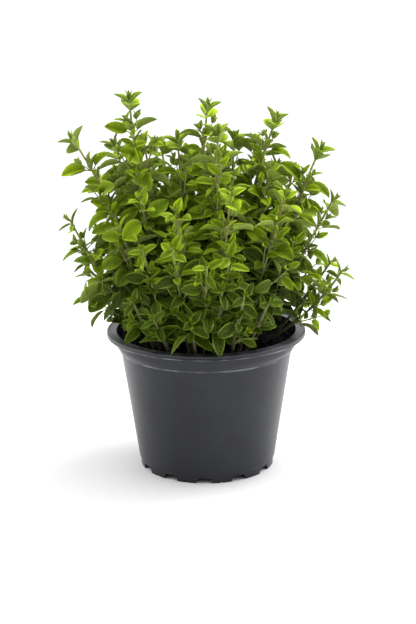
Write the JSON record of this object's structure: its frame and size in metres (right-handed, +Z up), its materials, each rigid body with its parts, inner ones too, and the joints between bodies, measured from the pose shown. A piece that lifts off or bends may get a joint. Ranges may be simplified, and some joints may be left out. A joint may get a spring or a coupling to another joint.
{
  "type": "potted oregano",
  "caption": "Bushy potted oregano: many upright leafy stems growing from soil in a round tapered plastic nursery pot.",
  "frame": {"origin": "middle of the pot's foot, on the surface that the pot stands on", "axes": "+Z up along the pot's axis, -Y towards the side that the picture shows"},
  "size_m": [0.2066, 0.1874, 0.269],
  "materials": {
    "pot_plastic": "satin",
    "potting_soil": "matte",
    "oregano": "satin"
  },
  "bodies": {
    "root": {"pot": "pot_plastic", "soil": "potting_soil", "stem_01": "oregano", "stem_02": "oregano", "stem_03": "oregano", "stem_04": "oregano", "stem_05": "oregano", "stem_06": "oregano", "stem_07": "oregano", "stem_08": "oregano", "stem_09": "oregano", "stem_10": "oregano", "stem_11": "oregano", "stem_12": "oregano", "stem_13": "oregano", "stem_14": "oregano", "stem_15": "oregano", "stem_16": "oregano", "stem_17": "oregano", "stem_18": "oregano", "stem_19": "oregano", "stem_20": "oregano", "stem_21": "oregano", "stem_22": "oregano", "stem_23": "oregano", "stem_24": "oregano", "stem_25": "oregano", "stem_26": "oregano", "stem_27": "oregano", "stem_28": "oregano", "stem_29": "oregano", "stem_30": "oregano", "stem_31": "oregano", "stem_32": "oregano", "stem_33": "oregano", "stem_34": "oregano", "stem_35": "oregano", "stem_36": "oregano", "stem_37": "oregano", "stem_38": "oregano", "stem_39": "oregano", "stem_40": "oregano", "stem_41": "oregano", "stem_42": "oregano", "stem_43": "oregano", "stem_44": "oregano", "stem_45": "oregano"}
  },
  "joints": []
}
